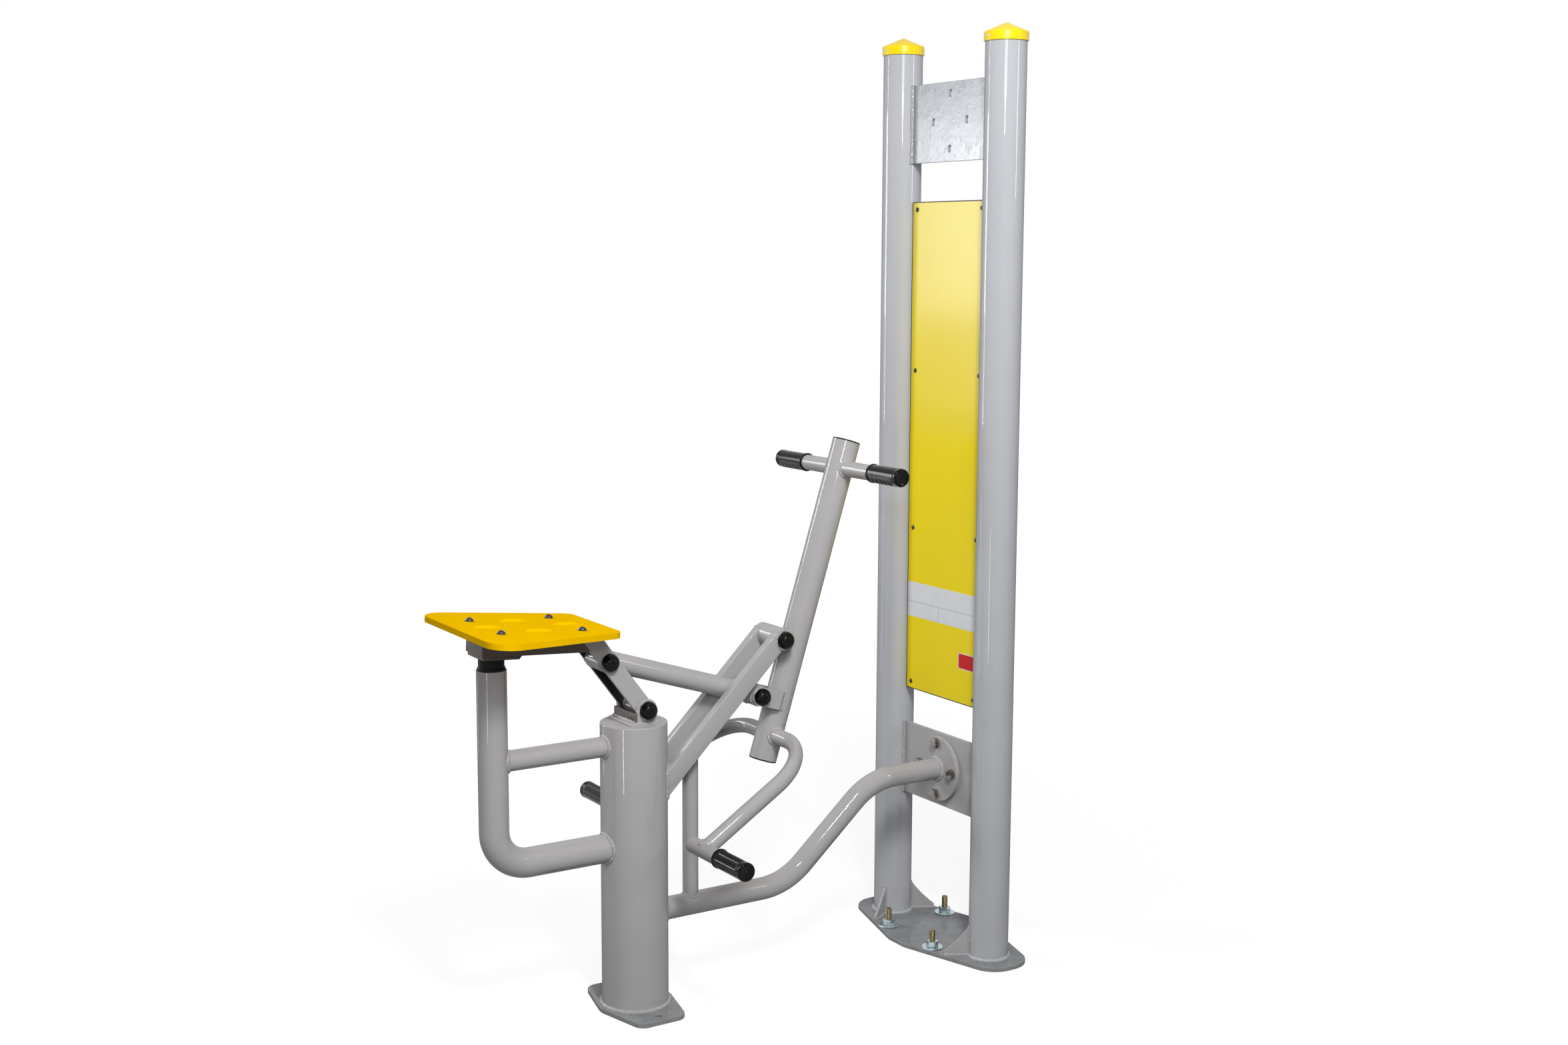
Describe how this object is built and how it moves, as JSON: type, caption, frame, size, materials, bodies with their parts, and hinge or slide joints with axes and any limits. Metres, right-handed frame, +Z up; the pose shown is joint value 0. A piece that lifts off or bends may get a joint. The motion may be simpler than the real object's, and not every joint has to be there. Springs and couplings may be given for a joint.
{
  "type": "outdoor horse rider machine",
  "caption": "Outdoor rider trainer: yellow seat on a rocking arm coupled by a push rod to a pull lever with hand and foot bars, joined by a bent tube to a twin-post pylon with a board",
  "frame": {"origin": "on the floor at the seat post's axis, on the underside of its base plate", "axes": "+X from the seat to the pylon, +Y to the rider's left, +Z up"},
  "size_m": [1.3106, 0.69, 2.051],
  "materials": {
    "grey_paint": "gloss powder coat",
    "yellow_seat": "satin",
    "yellow_cap": "gloss",
    "yellow_board": "gloss print",
    "black_plastic": "gloss",
    "black_rubber": "matt",
    "galvanised": "galvanised",
    "stainless": "plain stainless",
    "zinc_plated": "yellow zinc plated",
    "bronze": "plain bearing bronze"
  },
  "bodies": {
    "frame": {"post_base_plate": "grey_paint", "main_post": "grey_paint", "post_top_plate": "grey_paint", "seat_pivot_bracket": "grey_paint", "rear_bumper_tube": "grey_paint", "rear_cross_tube": "grey_paint", "rubber_bumper": "black_rubber", "left_support_arm": "grey_paint", "right_support_arm": "grey_paint", "arm_brace": "grey_paint", "connecting_tube": "grey_paint", "mounting_flange": "grey_paint", "flange_bolt_1": "stainless", "flange_bolt_2": "stainless", "flange_bolt_3": "stainless", "flange_bolt_4": "stainless", "pylon_base_plate": "grey_paint", "anchor_stud_1": "zinc_plated", "anchor_stud_2": "zinc_plated", "anchor_stud_3": "zinc_plated", "anchor_stud_4": "zinc_plated", "left_pylon_post": "grey_paint", "right_pylon_post": "grey_paint", "left_post_cap": "yellow_cap", "right_post_cap": "yellow_cap", "lower_bracket_plate": "grey_paint", "upper_bracket_plate": "galvanised", "instruction_board": "yellow_board", "seat_pivot_axle": "stainless", "seat_pivot_cap_left": "black_plastic", "seat_pivot_cap_right": "black_plastic", "lever_pivot_axle": "stainless", "lever_pivot_cap_left": "black_plastic", "lever_pivot_cap_right": "black_plastic"},
    "seat_arm": {"seat_board": "yellow_seat", "seat_frame": "grey_paint", "seat_stop_plate": "grey_paint", "left_link_bar": "grey_paint", "right_link_bar": "grey_paint", "seat_pivot_tube": "grey_paint", "seat_pivot_bush": "bronze", "rod_rear_axle": "stainless", "rod_rear_cap_left": "black_plastic", "rod_rear_cap_right": "black_plastic"},
    "push_rod": {"push_rod": "grey_paint", "rod_rear_bush": "bronze"},
    "lever": {"lever_pole": "grey_paint", "pole_top_plug": "black_plastic", "pole_bottom_plug": "black_plastic", "handlebar": "grey_paint", "foot_bar": "grey_paint", "left_hand_grip": "black_plastic", "right_hand_grip": "black_plastic", "left_foot_grip": "black_plastic", "right_foot_grip": "black_plastic", "rod_front_axle": "stainless", "rod_front_bush": "bronze", "rod_front_cap_left": "black_plastic", "rod_front_cap_right": "black_plastic", "lever_pivot_bush": "bronze"}
  },
  "joints": [
    {"name": "seat_arm_pivot", "type": "hinge", "parent": "frame", "child": "seat_arm", "pos_m": [0.0075, 0, 0.6432], "axis": [0, 1, 0], "range_deg": [0, 30]},
    {"name": "lever_pivot", "type": "hinge", "parent": "frame", "child": "lever", "pos_m": [0.3395, 0, 0.7537], "axis": [0, 1, 0], "range_deg": [-21.7, 0]},
    {"name": "push_rod_pivot", "type": "hinge", "parent": "seat_arm", "child": "push_rod", "pos_m": [-0.0735, 0, 0.75], "axis": [0, 1, 0], "range_deg": [-23.3, 0]}
  ],
  "couplings": [
    {"joint": "lever_pivot", "follows": "seat_arm_pivot", "ratio": -0.7205},
    {"joint": "push_rod_pivot", "follows": "seat_arm_pivot", "ratio": -0.7755}
  ]
}
